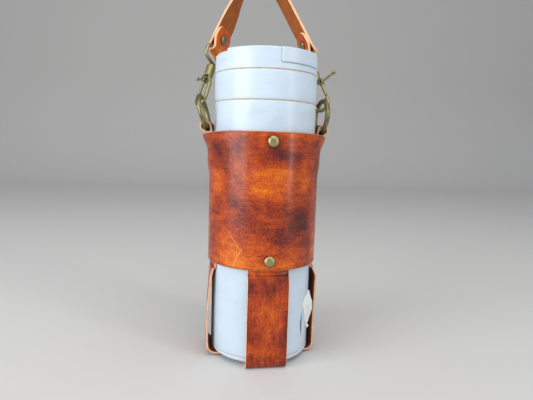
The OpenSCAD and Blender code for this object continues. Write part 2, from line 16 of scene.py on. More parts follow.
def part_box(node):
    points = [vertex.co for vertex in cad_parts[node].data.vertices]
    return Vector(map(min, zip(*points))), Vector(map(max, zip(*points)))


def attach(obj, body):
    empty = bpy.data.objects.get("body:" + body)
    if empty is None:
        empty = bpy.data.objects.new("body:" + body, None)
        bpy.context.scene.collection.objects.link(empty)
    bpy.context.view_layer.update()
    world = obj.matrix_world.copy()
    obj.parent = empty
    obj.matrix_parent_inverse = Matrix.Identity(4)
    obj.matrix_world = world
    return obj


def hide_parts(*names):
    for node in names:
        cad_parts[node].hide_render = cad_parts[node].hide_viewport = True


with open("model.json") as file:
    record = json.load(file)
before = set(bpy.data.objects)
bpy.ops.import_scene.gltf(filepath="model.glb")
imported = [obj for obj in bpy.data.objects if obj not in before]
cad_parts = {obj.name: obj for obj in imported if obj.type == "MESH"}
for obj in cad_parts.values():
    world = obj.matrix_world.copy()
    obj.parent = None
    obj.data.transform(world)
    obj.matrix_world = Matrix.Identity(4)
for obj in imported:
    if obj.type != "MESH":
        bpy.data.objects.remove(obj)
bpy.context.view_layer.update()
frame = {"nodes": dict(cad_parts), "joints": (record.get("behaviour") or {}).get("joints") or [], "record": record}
MM = 0.001


# ------------------------------------------------------------ the frame's facts
def low(node):
    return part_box(node)[0] / MM


def high(node):
    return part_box(node)[1] / MM


def joint(name):
    """A joint's place in millimetres."""
    return Vector(next(j for j in frame["joints"] if j["name"] == name)["pos_m"]) / MM


def mount(name):
    """A mount's place in millimetres and its axis."""
    found = next(m for m in frame["record"]["mounts"] if m["name"] == name)
    return Vector(found["pos_m"]) / MM, Vector(found["axis"])


leather_t = low("side_strap").z
base_z = low("base_cap").z
bottle_r = high("base_cap").x
seam_w = 0.5
seam_z = low("lid_skirt").z - seam_w / 2
top_z = high("lid_skirt").z + seam_w / 2
rim_z = high("lid_top").z
base_seam = low("bottle_wall").z - seam_w / 2
neck_top = high("bottle_wall").z
strap_r = bottle_r + 0.3
tiny = 0.05
sleeve_r = strap_r + leather_t + tiny
sleeve_low = low("sleeve").z
sleeve_top = high("sleeve").z
pivot = joint("strap_swing")


def smooth(x, start, end):
    """0 up to start, 1 from end on, and an eased slope between them."""
    s = min(1, max(0, (x - start) / (end - start)))
    return s * s * (3 - 2 * s)


def sin_d(a):
    return math.sin(math.radians(a))


def cos_d(a):
    return math.cos(math.radians(a))


def round_axis(a, r, z):
    """The point at angle a from the front, at radius r and height z."""
    return Vector((r * sin_d(a), -r * cos_d(a), z))


def wobble(p, size, amount):
    """Soft unevenness: a smooth random number at point p, in waves of about that size."""
    return amount * noise.noise(Vector(p) / size)


# ------------------------------------------------------------------ mesh makers
def add_object(name, data):
    obj = bpy.data.objects.new(name, data)
    bpy.context.scene.collection.objects.link(obj)
    return obj


def shade_smooth(mesh):
    mesh.polygons.foreach_set("use_smooth", [True] * len(mesh.polygons))


def join_rig(obj, body, nodes):
    """Lets the object ride on a CAD body, in the place of some CAD nodes."""
    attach(obj, body)
    if nodes:
        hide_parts(*nodes)


def make_object(name, points, faces, materials, body, nodes=(), kinds=None, data=None):
    """A smooth mesh object from points in millimetres, riding on a CAD body."""
    mesh = bpy.data.meshes.new(name)
    mesh.from_pydata([tuple(Vector(p) * MM) for p in points], [], faces)
    for material in materials:
        mesh.materials.append(material)
    if kinds is not None:
        mesh.polygons.foreach_set("material_index", kinds)
    for key, values in (data or {}).items():
        size = "FLOAT_VECTOR" if len(np.shape(values)) == 2 else "FLOAT"
        layer = mesh.attributes.new(key, size, "POINT")
        flat = np.array(values, np.float32).ravel()
        layer.data.foreach_set("vector" if size == "FLOAT_VECTOR" else "value", flat)
    cleaner = bmesh.new()
    cleaner.from_mesh(mesh)
    bmesh.ops.recalc_face_normals(cleaner, faces=cleaner.faces)
    cleaner.to_mesh(mesh)
    cleaner.free()
    shade_smooth(mesh)
    join_rig(add_object(name, mesh), body, nodes)


def loops_to_faces(rows, around, close_rows, first=0):
    """Quads between rows of points, each row a closed loop of that many points."""
    faces = []
    for i in range(rows if close_rows else rows - 1):
        a, b = first + i * around, first + (i + 1) % rows * around
        for j in range(around):
            k = (j + 1) % around
            faces.append((a + j, a + k, b + k, b + j))
    return faces


def spread(values, step):
    """Catmull-Rom curve through rows of numbers, with points about step apart in the first two."""
    rows = np.array(values, float)
    out = []
    for i in range(len(rows) - 1):
        p0, p1 = rows[max(i - 1, 0)], rows[i]
        p2, p3 = rows[i + 1], rows[min(i + 2, len(rows) - 1)]
        count = max(1, math.ceil(np.linalg.norm(p2[:2] - p1[:2]) / step))
        for k in range(count):
            t = k / count
            out.append(0.5 * (2 * p1 + (p2 - p0) * t + (2 * p0 - 5 * p1 + 4 * p2 - p3) * t ** 2
                              + (3 * p1 - p0 - 3 * p2 + p3) * t ** 3))
    out.append(rows[-1])
    return out


GRAIN, EDGE, FLESH = 0, 1, 2
EDGE_STEPS = 6


def strip_section(lo, hi, thick, count, rounding):
    """Points (u, t) round a strip's section, and the kind of each stretch between them."""
    r = rounding * thick
    face = [lo + r + (hi - lo - 2 * r) * k / count for k in range(count + 1)]
    arc = [90 - 180 * k / EDGE_STEPS for k in range(1, EDGE_STEPS)]
    points = [(u, thick) for u in face]
    points += [(hi - r + r * cos_d(f), thick / 2 + thick / 2 * sin_d(f)) for f in arc]
    points += [(u, 0) for u in reversed(face)]
    points += [(lo + r - r * cos_d(f), thick / 2 - thick / 2 * sin_d(f)) for f in arc]
    kinds = [GRAIN] * count + [EDGE] * EDGE_STEPS + [FLESH] * count + [EDGE] * EDGE_STEPS
    return points, kinds


def strip(name, stations, thick, count, materials, body, nodes=(), tone=None,
          rounding=0.35):
    """A closed strip. A station is (along, lo, hi, place), where place(u, t) gives the point at u
    across the strip and t above its inner face."""
    points, flat, tones, kinds = [], [], [], []
    for along, lo, hi, place in stations:
        section, row_kinds = strip_section(lo, hi, thick, count, rounding)
        for u, t in section:
            points.append(place(u, t))
            flat.append((u * MM, along * MM, t * MM))
            tones.append(tone(u, along) if tone else 0)
        kinds += row_kinds
    around = len(section)
    kinds = kinds[:-around]
    faces = loops_to_faces(len(stations), around, False)
    last = (len(stations) - 1) * around
    faces += [tuple(range(around)), tuple(range(last, last + around))]
    kinds += [EDGE, EDGE]
    make_object(name, points, faces, materials, body, nodes, kinds,
                {"flat": flat, "tone": tones})


def lathe_mesh(profile_at, angles, closed):
    """Points and faces of a profile [(r, z), ...] that may change with the angle."""
    points = []
    for a in angles:
        points += [round_axis(a, r, z) for r, z in profile_at(a)]
    around = len(profile_at(angles[0]))
    faces = loops_to_faces(len(angles), around, True)
    if not closed:
        faces = [f for n, f in enumerate(faces) if n % around != around - 1]
    return points, faces


def turns(count):
    """Evenly spaced angles once round the bottle."""
    return [-180 + 360 * k / count for k in range(count)]


def lathe(name, profile, materials, body, nodes=(), closed=True, seams=(), extra=None):
    """A turned plastic piece. seams are the places in the profile whose stretch gets the second
    material."""
    points, faces = lathe_mesh(lambda a: profile, turns(144), closed)
    per = len(profile) if closed else len(profile) - 1
    kinds = [1 if n % per in seams else 0 for n in range(len(faces))]
    if extra:
        more_points, more_faces = extra(len(points))
        points += more_points
        faces += more_faces
        kinds += [0] * len(more_faces)
    make_object(name, points, faces, materials, body, nodes, kinds)


def tube_mesh(path, radii, sides, closed, first=0):
    """Points and faces of a round tube along a path, turning as little as it can."""
    n = len(path)
    points, normal = [], None
    for i, p in enumerate(path):
        before = path[i - 1] if (i > 0 or closed) else p
        after = path[(i + 1) % n] if (i < n - 1 or closed) else p
        along = (after - before).normalized()
        if normal is None:
            normal = along.orthogonal().normalized()
        normal = (normal - along * normal.dot(along)).normalized()
        other = along.cross(normal)
        for k in range(sides):
            a = 360 * k / sides
            points.append(p + radii[i] * (normal * cos_d(a) + other * sin_d(a)))
    faces = loops_to_faces(n, sides, closed, first)
    if not closed:
        last = first + (n - 1) * sides
        faces += [tuple(range(first, first + sides)), tuple(range(last, last + sides))]
    return points, faces


# -------------------------------------------------------------------- materials
def srgb(code):
    """Linear colour from a hex code such as d07a2c."""
    parts = [int(code[i:i + 2], 16) / 255 for i in (0, 2, 4)]
    return tuple(c / 12.92 if c <= 0.04045 else ((c + 0.055) / 1.055) ** 2.4 for c in parts) + (1,)


class Shader:
    """A material under construction: each call adds a node and gives back its output."""

    def __init__(self, name, **fixed):
        self.material = bpy.data.materials.new(name)
        self.material.use_nodes = True
        self.tree = self.material.node_tree
        self.surface = next(n for n in self.tree.nodes if n.type == "BSDF_PRINCIPLED")
        self.set(**fixed)

    def set(self, **values):
        for key, value in values.items():
            self.put(self.surface.inputs[key.replace("_", " ")], value)

    def put(self, socket, value):
        if isinstance(value, bpy.types.NodeSocket):
            self.tree.links.new(value, socket)
        else:
            socket.default_value = value

    def node(self, kind, *inputs, out=0, **settings):
        made = self.tree.nodes.new("ShaderNode" + kind)
        for key, value in settings.items():
            setattr(made, key, value)
        for key, value in inputs:
            self.put(made.inputs[key], value)
        return made.outputs[out]

    def place(self):
        """Coordinates in metres that stay with the piece."""
        return self.node("TexCoord", out="Object")

    def attribute(self, name, out="Vector"):
        return self.node("Attribute", out=out, attribute_name=name)

    def stretch(self, vector, scale, shift=(0, 0, 0)):
        return self.node("Mapping", ("Vector", vector), ("Scale", scale), ("Location", shift))

    def noise(self, vector, scale, detail=3, rough=0.55, distortion=0):
        return self.node("TexNoise", ("Vector", vector), ("Scale", scale), ("Detail", detail),
                         ("Roughness", rough), ("Distortion", distortion))

    def cells(self, vector, scale, feature="F1"):
        return self.node("TexVoronoi", ("Vector", vector), ("Scale", scale), feature=feature)

    def math(self, kind, a, b=0.0, clamp=False):
        return self.node("Math", (0, a), (1, b), operation=kind, use_clamp=clamp)

    def add(self, *terms):
        total = terms[0]
        for term in terms[1:]:
            total = self.math("ADD", total, term)
        return total

    def times(self, a, b):
        return self.math("MULTIPLY", a, b)

    def fit(self, value, from_lo, from_hi, to_lo=0.0, to_hi=1.0):
        return self.node("MapRange", (0, value), (1, from_lo), (2, from_hi), (3, to_lo), (4, to_hi))

    def mix(self, share, a, b):
        return self.node("Mix", (0, share), (6, a), (7, b), out=2, data_type="RGBA")

    def ramp(self, value, stops):
        """Colours, as hex codes, along a value from 0 to 1."""
        made = self.tree.nodes.new("ShaderNodeValToRGB")
        self.put(made.inputs[0], value)
        ramp = made.color_ramp
        while len(ramp.elements) < len(stops):
            ramp.elements.new(0.5)
        for element, (place, colour) in zip(ramp.elements, stops):
            element.position = place
            element.color = srgb(colour)
        return made.outputs[0]

    def bump(self, height, distance, strength=1.0, under=None):
        inputs = [("Height", height), ("Distance", distance), ("Strength", strength)]
        if under is not None:
            inputs.append(("Normal", under))
        return self.node("Bump", *inputs)

    def mark(self, flat, start, end, width):
        """1 on a straight scratch or crease between two points of the flat leather, 0 off it."""
        a, b = (Vector(p) * MM for p in (start, end))
        along = b - a
        away = self.node("VectorMath", (0, flat), (1, tuple(a)), operation="SUBTRACT")
        dot = self.node("VectorMath", (0, away), (1, tuple(along / along.length_squared)),
                        operation="DOT_PRODUCT", out="Value")
        share = self.math("ADD", dot, 0.0, clamp=True)
        foot = self.node("VectorMath", (0, tuple(along)), ("Scale", share), operation="SCALE")
        gap = self.node("VectorMath", (0, away), (1, foot), operation="SUBTRACT")
        size = self.node("VectorMath", (0, gap), operation="LENGTH", out="Value")
        return self.fit(size, 0.0, width * MM, 1.0, 0.0)


def white_plastic():
    """Satin white of the bottle, with faint handling smudges and fine rubbing."""
    s = Shader("bottle_white", Roughness=0.34, Coat_Weight=0.12, Coat_Roughness=0.18)
    place = s.place()
    smudge = s.noise(s.stretch(place, (1, 1, 2.2)), 42, 5, 0.6, 0.4)
    cloud = s.noise(place, 9, 2)
    rubbed = s.noise(s.stretch(place, (1, 1, 0.12)), 900, 2, 0.7)
    level = s.add(s.times(cloud, 0.5), s.times(smudge, 0.5))
    shade = s.ramp(level, [(0.25, "b4c2ce"), (0.42, "c4d3e1"), (0.7, "cddceb")])
    dark = s.fit(smudge, 0.66, 0.82, 0.0, 0.35)
    s.set(Base_Color=s.mix(dark, shade, srgb("a9b4bb")))
    s.set(Roughness=s.fit(s.add(smudge, s.times(rubbed, 0.3)), 0.4, 0.9, 0.30, 0.46))
    waves = s.bump(s.noise(place, 60, 2), 0.00025, 0.6)
    s.set(Normal=s.bump(rubbed, 0.00003, 0.6, waves))
    return s.material


def seam_tan():
    """Tan colour for the seams between the moulded pieces, with a faint mottle; on the lid it also marks a line
    round the grip pad that is partly grime and partly painted shadow.
    """
    s = Shader("seam_tan", Roughness=0.7)
    tan_and_shadow = s.noise(s.place(), 350, 4, 0.7)
    s.set(Base_Color=s.ramp(tan_and_shadow, [(0.3, "b3a48e"), (0.5, "cdbda6"), (0.75, "d9d3c8")]))
    s.set(Normal=s.bump(tan_and_shadow, 0.0001, 0.5))
    return s.material


def wrap_film():
    """The loose corner of the bottle's outer film."""
    s = Shader("wrap_film", Roughness=0.4, Coat_Weight=0.2, Coat_Roughness=0.25)
    place = s.place()
    crinkle = s.noise(place, 240, 4, 0.6, 0.8)
    s.set(Base_Color=s.ramp(crinkle, [(0.3, "cfd6d4"), (0.55, "e9ece6"), (0.8, "f6f4ea")]))
    s.set(Normal=s.bump(crinkle, 0.0005, 0.8))
    return s.material


def wrap_under():
    """Dark blue layer that shows through the tear in the film."""
    s = Shader("wrap_under", Roughness=0.5)
    print_noise = s.noise(s.place(), 500, 3)
    s.set(Base_Color=s.ramp(print_noise, [(0.3, "1b2340"), (0.7, "3a4670")]))
    return s.material


def leather_grain(name, shift, lift=0.0):
    """Waxed antique leather: brushed dye in streaks and clouds over a fine pebbled grain.
    shift moves the pattern, in metres, and lift makes the whole piece lighter."""
    s = Shader(name, Coat_Weight=0.4, Coat_Roughness=0.2, Specular_IOR_Level=0.25)
    flat = s.stretch(s.attribute("flat"), (1, 1, 1), (shift, shift, 0))
    # tone: each point's lightness, made with the mesh: the dye's patches, and on the front strap partly painted
    # shade
    tone = s.attribute("tone", "Fac")
    clouds = s.noise(flat, 34, 3, 0.5, 0.3)
    blots = s.noise(flat, 120, 4, 0.65, 0.2)
    streaks = s.noise(s.stretch(flat, (1, 0.16, 1)), 900, 3, 0.6)
    brush = s.noise(s.stretch(flat, (1, 0.25, 1)), 260, 4, 0.6, 0.3)
    grit = s.noise(flat, 950, 3, 0.6)
    speck = s.noise(flat, 2600, 2, 0.6)
    level = s.add(s.times(clouds, 0.6), s.times(blots, 0.4), s.times(brush, 0.4),
                  s.times(streaks, 0.25), s.times(grit, 0.55), s.times(speck, 0.6),
                  s.times(tone, 0.40), lift - 0.97)
    colour = s.ramp(level, [(0.08, "3a0c08"), (0.24, "6a1a08"), (0.40, "9a3204"),
                            (0.56, "c04e02"), (0.74, "da7206"), (0.95, "ec9620")])
    s.set(Base_Color=colour)
    s.set(Roughness=s.fit(s.add(s.times(brush, 0.6), s.times(speck, 0.4)), 0.3, 0.7, 0.52, 0.36))
    pebbles = s.cells(flat, 1500)
    pores = s.cells(flat, 620, "DISTANCE_TO_EDGE")
    soft = s.bump(s.noise(flat, 75, 2), 0.0007, 0.5)
    rough = s.bump(pebbles, 0.00010, 0.75, soft)
    return s, flat, colour, s.bump(pores, 0.00006, 0.5, rough)


# the sleeve's crease and scratches: ends as (height, angle), width and how light each is
SLEEVE_MARKS = [
    ((sleeve_top, -53), (sleeve_top - 12, -31), 0.5, -0.5),
    ((96, -40), (87, -30), 0.45, 0.75), ((88, -28), (75, -37), 0.5, 0.75),
    ((92, -33), (80, -33), 0.35, 0.5), ((101, -47), (95, -38), 0.3, 0.5),
]


def sleeve_leather():
    """The sleeve's leather, with a crease at the upper left and crossing scratches below it."""
    shift = 0.013
    s, flat, colour, normal = leather_grain("leather_sleeve", shift)
    for start, end, width, light in SLEEVE_MARKS:
        ends = [(h + shift / MM, math.radians(a) * (sleeve_r + leather_t) + shift / MM, leather_t)
                for h, a in (start, end)]
        line = s.mark(flat, *ends, width)
        tint = srgb("e9a24a") if light > 0 else srgb("3a120c")
        colour = s.mix(s.times(line, abs(light)), colour, tint)
        normal = s.bump(line, -0.00025 if light < 0 else 0.00008, 0.8, normal)
    s.set(Base_Color=colour, Normal=normal)
    return s.material


def strap_leather(name, shift, lift=0.0):
    s, _, _, normal = leather_grain(name, shift, lift)
    s.set(Normal=normal)
    return s.material


def leather_flesh(name, base, dark):
    """Suede-like inner side of the leather."""
    s = Shader(name, Roughness=0.9, Sheen_Weight=0.15, Sheen_Roughness=0.5,
               Sheen_Tint=srgb("d8904a"))
    flat = s.attribute("flat")
    fibre = s.noise(flat, 1800, 4, 0.7, 0.4)
    nap = s.noise(s.stretch(flat, (1, 0.3, 1)), 500, 4, 0.65)
    cloud = s.noise(flat, 60, 3)
    level = s.add(s.times(fibre, 0.45), s.times(nap, 0.35), s.times(cloud, 0.3))
    s.set(Base_Color=s.ramp(level, [(0.38, dark), (0.62, base)]))
    s.set(Normal=s.bump(fibre, 0.00022, 0.8))
    return s.material


def leather_edge(name, light, dark):
    """Cut edge of the leather, with its layers of fibre."""
    s = Shader(name, Roughness=0.75, Sheen_Weight=0.15)
    flat = s.attribute("flat")
    fibre = s.noise(s.stretch(flat, (1, 0.35, 4)), 1500, 4, 0.65)
    patch = s.noise(flat, 140, 3)
    level = s.add(s.times(fibre, 0.6), s.times(patch, 0.4))
    s.set(Base_Color=s.ramp(level, [(0.32, dark), (0.55, light)]))
    s.set(Normal=s.bump(fibre, 0.0002, 0.7))
    return s.material


def antique_brass(name, bright, middle, dark):
    """Antique-finished brass: rubbed on what stands out, dark in what lies deep."""
    s = Shader(name, Metallic=1.0, Specular_IOR_Level=0.5)
    place = s.place()
    wear = s.attribute("wear", "Fac")
    patch = s.noise(place, 420, 4, 0.6, 0.3)
    fine = s.noise(place, 2600, 3, 0.6)
    level = s.add(s.times(patch, 0.55), s.times(fine, 0.25), s.times(wear, 0.45), -0.02)
    s.set(Base_Color=s.ramp(level, [(0.22, dark), (0.42, middle), (0.68, bright)]))
    s.set(Roughness=s.fit(s.add(patch, s.times(fine, 0.4)), 0.4, 0.9, 0.30, 0.48))
    s.set(Normal=s.bump(s.add(patch, fine), 0.00012, 0.5))
    return s.material


def brushed_steel():
    """Steel of the hidden inner wall, brushed round its axis."""
    s = Shader("liner_steel", Metallic=1.0)
    brushed = s.noise(s.stretch(s.place(), (1, 1, 40)), 60, 3, 0.6)
    s.set(Base_Color=s.ramp(brushed, [(0.3, "9b9ea1"), (0.7, "d8dadc")]))
    s.set(Roughness=s.fit(brushed, 0.3, 0.7, 0.3, 0.45))
    return s.material


def seal_rubber():
    """Grey rubber of the lid's seal, with a pale bloom."""
    s = Shader("seal_rubber", Roughness=0.6)
    bloom = s.noise(s.place(), 180, 4)
    s.set(Base_Color=s.ramp(bloom, [(0.3, "8b9196"), (0.8, "b4babd")]))
    s.set(Normal=s.bump(bloom, 0.0001, 0.4))
    return s.material


WHITE = white_plastic()
SEAM = seam_tan()
FILM = wrap_film()
UNDER = wrap_under()
STEEL = brushed_steel()
RUBBER = seal_rubber()
SUEDE = leather_flesh("leather_suede", "a4581a", "6c320c")
# a darker copy of the suede: painted shade on the flesh sides that face the bottle
SHADED_SUEDE = leather_flesh("leather_suede_shaded", "8a3d1c", "52200f")
RAW_EDGE = leather_edge("leather_raw_edge", "f2c096", "c98654")
DYED_EDGE = leather_edge("leather_dyed_edge", "c4702c", "7a3213")
BRASS = antique_brass("antique_brass", "a59b6e", "6a6140", "1f1b10")
DARK_BRASS = antique_brass("dark_brass", "8c8672", "4b4538", "17140f")


# ---------------------------------------------------------------- bottle and lid
def helix(r, z, ridge_r, first):
    """A thread's ridge as a thin tube that tapers at both ends."""
    steps, pitch, turn_count = 90, 3, 1.2
    path = [round_axis(360 * turn_count * k / steps + 90, r, z + pitch * turn_count * k / steps)
            for k in range(steps + 1)]
    radii = [ridge_r * min(1, 0.2 + k / 8, 0.2 + (steps - k) / 8) for k in range(steps + 1)]
    return tube_mesh(path, radii, 10, False, first)


LIP = 0.35    # how far a moulded edge is rounded


def rounded_edge(z, way):
    """Profile points, going up, of the moulded edge at height z: its wall is above it for way 1
    and below it for way -1."""
    points = [(bottle_r - LIP, z), (bottle_r - 0.1, z + way * 0.1), (bottle_r, z + way * LIP)]
    return points if way > 0 else points[::-1]


def wall_rows(bottom, top, steps):
    return [(bottle_r, bottom + (top - bottom) * k / steps) for k in range(1, steps)]


def build_bottle():
    """The outer wall with its threaded neck."""
    neck_r = bottle_r - 3.6
    bore_r = bottle_r - 5
    bottom = base_seam + seam_w / 2
    shoulder = seam_z - seam_w / 2
    profile = [(bottle_r - 1.2, bottom + 0.1)] + rounded_edge(bottom, 1)
    profile += wall_rows(bottom, shoulder, 24)
    top_edge = len(profile)
    profile += rounded_edge(shoulder, -1)
    profile += [(neck_r + 0.5, shoulder - 0.1), (neck_r, shoulder + 0.3),
                (neck_r, neck_top - 0.4), (neck_r - 0.4, neck_top),
                (bore_r + 0.3, neck_top), (bore_r, neck_top - 0.3), (bore_r, base_z + 32),
                (bottle_r - 1.2, base_z + 26)]
    lathe("bottle_wall_shown", profile, [WHITE, SEAM], "bottle", ["bottle_wall"],
          seams=(0, 1, top_edge, top_edge + 1),
          extra=lambda first: helix(neck_r + 0.35, seam_z + 6, 0.7, first))


def build_base_cap():
    corner = 3.2
    ledge = base_seam - seam_w / 2
    profile = [(0, base_z), (bottle_r - corner, base_z)]
    profile += [(bottle_r - corner + corner * cos_d(a), base_z + corner + corner * sin_d(a))
                for a in range(-80, 1, 8)]
    top_edge = len(profile)
    profile += rounded_edge(ledge, -1)
    profile += [(bottle_r - 1.4, ledge), (bottle_r - 1.5, base_z + 7), (bottle_r - 2.6, base_z + 7),
                (bottle_r - 2.6, base_z + 3), (0, base_z + 3)]
    lathe("base_cap_shown", profile, [WHITE, SEAM], "bottle", ["base_cap"], closed=False,
          seams=(top_edge + 1, top_edge + 2))


def build_skirt():
    """The lid's threaded skirt, between the two seams."""
    foot = seam_z + seam_w / 2
    top = top_z - seam_w / 2
    inner = bottle_r - 2
    profile = [(inner, foot)] + rounded_edge(foot, 1) + wall_rows(foot, top, 6)
    profile += rounded_edge(top, -1) + [(inner, top)]
    lathe("lid_skirt_shown", profile, [WHITE, SEAM], "lid", ["lid_skirt"],
          seams=(1, len(profile) - 3),
          extra=lambda first: helix(inner - 0.3, seam_z + 4.5, 0.6, first))


def build_seams():
    """Thin tan rings that lie in the seams."""
    half, edge = 0.18, bottle_r - 0.3
    for name, z, body in (("base_seam", base_seam, "bottle"), ("lid_seam", seam_z + 0.05, "lid"),
                          ("top_seam", top_z, "lid")):
        lathe(name, [(edge - 1, z - half), (edge, z - half), (edge, z + half),
                     (edge - 1, z + half)], [SEAM], body)


PAD = (7, 62, 10, 0.8)          # the grip pad: first angle, last angle, height, corner radius
NOTCH = (-100, -55, 7.5, 2.2)   # the notch, in the same way
RIM_DROP = 1.5                  # how far the rim is lower along the notch


def box_gap(a, z, panel):
    """How far a point of the lid's wall is outside a rounded panel that hangs from the rim."""
    first, last, height, corner = panel
    middle, half = (first + last) / 2, math.radians(last - first) / 2 * bottle_r
    x = abs(math.radians(a - middle) * bottle_r) - half + corner
    y = (rim_z - height) - z + corner
    return math.hypot(max(x, 0), max(y, 0)) + min(max(x, y), 0) - corner


def build_lid_top():
    """The dished lid top, with the notch and the pad's recess pressed into its wall."""
    foot = top_z + seam_w / 2
    dish_z = rim_z - 2.5
    # finer steps at the ends of the pad and of the notch
    fine = [a + d for a in (*PAD[:2], *NOTCH[:2]) for d in np.arange(-3, 3.01, 0.3)]
    angles = sorted(set(round(float(a), 2) for a in fine + turns(150)))
    heights = list(np.arange(foot + 0.7, rim_z - 0.9, 0.4))

    def drop(a):
        half = (NOTCH[1] - NOTCH[0]) / 2
        return RIM_DROP * (1 - smooth(abs(a - sum(NOTCH[:2]) / 2), half - 2.3, half + 0.1))

    def wall(a, z):
        from_notch = box_gap(a, z, NOTCH)
        notch = 0.75 * (1 - smooth(from_notch, -0.5, 0.25))
        groove = 0.5 * (1 - smooth(abs(from_notch), 0.0, 0.5))
        recess = 0.9 * (1 - smooth(box_gap(a, z, PAD), 0.1, 0.5))
        return bottle_r - notch - groove - recess

    def profile_at(a):
        top = rim_z - drop(a)
        rows = [(bottle_r - 2.1, foot - 3), (bottle_r - 2.1, foot)] + rounded_edge(foot, 1)
        rows += [(wall(a, z), min(z, top - 0.9)) for z in heights]
        edge = wall(a, rim_z - 1)
        rows += [(edge, top - 0.9), (edge - 0.12, top - 0.45), (edge - 0.4, top - 0.12),
                 (edge - 0.9, top), (bottle_r - 2.4, top), (bottle_r - 2.9, top - 0.3),
                 (bottle_r - 3.1, rim_z - 2.0), (bottle_r - 3.6, dish_z),
                 (bottle_r * 0.5, dish_z), (0, dish_z), (0, rim_z - 4),
                 (bottle_r - 4, rim_z - 4), (bottle_r - 4, foot - 3)]
        return rows

    points, faces = lathe_mesh(profile_at, angles, True)
    around, wall_at = len(profile_at(0)), 5
    kinds = []
    for n in range(len(faces)):
        a, j = angles[n // around], n % around
        on_lip = j in (2, 3)
        on_wall = wall_at <= j < wall_at + len(heights)
        z = heights[j - wall_at] if on_wall else 0
        # Faces that take the seam's tan: a line round the pad's sides and lower edge, partly grime and partly
        # painted shadow under the proud pad, and a tan line round the notch.
        tan_and_shadow = on_wall and (abs(box_gap(a, z, PAD) - 0.3) < 0.25
                             or abs(box_gap(a, z, NOTCH)) < 0.25)
        kinds.append(1 if on_lip or tan_and_shadow else 0)
    make_object("lid_top_shown", points, faces, [WHITE, SEAM], "lid",
                ["lid_top"], kinds)


def build_pad():
    """The grip pad: a bowed plate with rounded lower corners, a little proud of the lid."""
    inner, thick, corner = bottle_r - 1.4, 1.85, 1.0
    first, last, height, _ = PAD
    low_z, high_z = rim_z - height, rim_z + 0.15
    stations = []
    steps = sorted(set([*np.arange(first, last, 1.0), *np.arange(first, first + 1.8, 0.2),
                        *np.arange(last - 1.8, last + 0.01, 0.2)]))
    for a in steps:
        side = math.radians(min(a - first, last - a)) * bottle_r
        cut = corner - math.sqrt(max(0, corner ** 2 - max(0, corner - side) ** 2))
        sink = 0.45 * (1 - smooth(side, 0, 0.5))
        stations.append((a, low_z + cut, high_z - 0.4 * cut,
                         lambda u, t, a=a, sink=sink: round_axis(a, inner + t - sink * t / thick, u)))
    strip("grip_pad_shown", stations, thick, 16, [WHITE] * 3, "lid",
          ["grip_pad"], rounding=0.3)


# the film's loose leaf: height, first angle, last angle, how far its free edge stands off
LEAF = [(21, 60, 62.5, 0.5), (23, 58.5, 64.5, 1.2), (26, 56.5, 66, 2.1), (30, 54, 66.5, 3.2),
        (35, 51, 66.5, 3.9), (38.5, 48, 66.5, 3.7), (40.5, 48.3, 66.8, 3.1),
        (42.5, 52, 67, 2.5), (45, 58.5, 67.4, 1.5), (47.2, 65.5, 68, 0.7)]


def build_leaf():
    """The loose corner of the thin film."""
    stations = []
    for z, first, last, lift in spread(LEAF, 0.8):
        def place(u, t, z=z, first=first, last=last, lift=lift):
            r = bottle_r + 0.12 + lift * u ** 1.3 + t
            r += wobble((u * 7, z, 3), 4, 0.3) * smooth(u, 0, 0.4)
            return round_axis(first + (last - first) * u, r, base_z + z)

        stations.append((z, 0, 1, place))
    strip("film_flap", stations, 0.14, 16, [FILM] * 3, "bottle",
          ["label_flap"], rounding=0.02)


def build_tear():
    """The slit beside the leaf, where the layer under the film shows."""
    foot, length, steps = 15, 19, 16
    tear = []
    for k in range(steps + 1):
        s = k / steps
        half = 0.12 + 0.8 * math.sin(math.pi * s) ** 1.5
        middle = 48.5 - 1.5 * math.sin(math.pi * s)
        tear.append((s, -half, half, lambda u, t, s=s, middle=middle: round_axis(
            middle + math.degrees(u / bottle_r), bottle_r + 0.02 + t, base_z + foot + length * s)))
    strip("film_tear", tear, 0.06, 6, [UNDER] * 3, "bottle", rounding=0.3)


def build_roll():
    """The leaf's rolled-up tip."""
    steps = 12
    path = [round_axis(60 + 4 * k / steps, bottle_r + 0.9 + 0.5 * k / steps, base_z + 19.4 + 0.1 * k)
            for k in range(steps + 1)]
    radii = [1.05 * math.sqrt(max(0.02, 1 - ((k - 6) / 6.2) ** 2)) + 0.1 for k in range(steps + 1)]
    points, faces = tube_mesh(path, radii, 16, False)
    points = [p + Vector((wobble(p, 1.1, 0.18), wobble(p, 1.3, 0.18), 0)) for p in points]
    make_object("film_roll", points, faces, [FILM], "bottle",
                data={"flat": [tuple(p * MM) for p in points]})


# ---------------------------------------------------------------- leather holder
SLEEVE_FLARE = 4    # how far the sleeve's top opens at the sides
SIDE_DIP = 2.2      # how far its edge is lower there
RIVET_INSET = 7     # from the sleeve's edges to its rivets
BACK_RIVETS = 11    # degrees from the back seam to its rivets


def sleeve_out(a, z):
    """How far the sleeve stands off, over the doubled side straps and at its open top."""
    side = abs(sin_d(a)) ** 5
    doubled = (leather_t + tiny) * smooth(z, sleeve_top - 34, sleeve_top - 22)
    return side * (doubled + SLEEVE_FLARE * smooth(z, sleeve_top - 20, sleeve_top) ** 2)


def rivet_press(a, z, thick):
    """How far the leather is pressed in under and around a sleeve rivet."""
    total = 0
    for at in (0, 180 - BACK_RIVETS, BACK_RIVETS - 180):
        for h in (sleeve_low + RIVET_INSET, sleeve_top - RIVET_INSET):
            away = math.hypot(math.radians(a - at) * sleeve_r, z - h)
            total += 0.35 * (1 - smooth(away, 3.2, 7.0))
    return total * thick


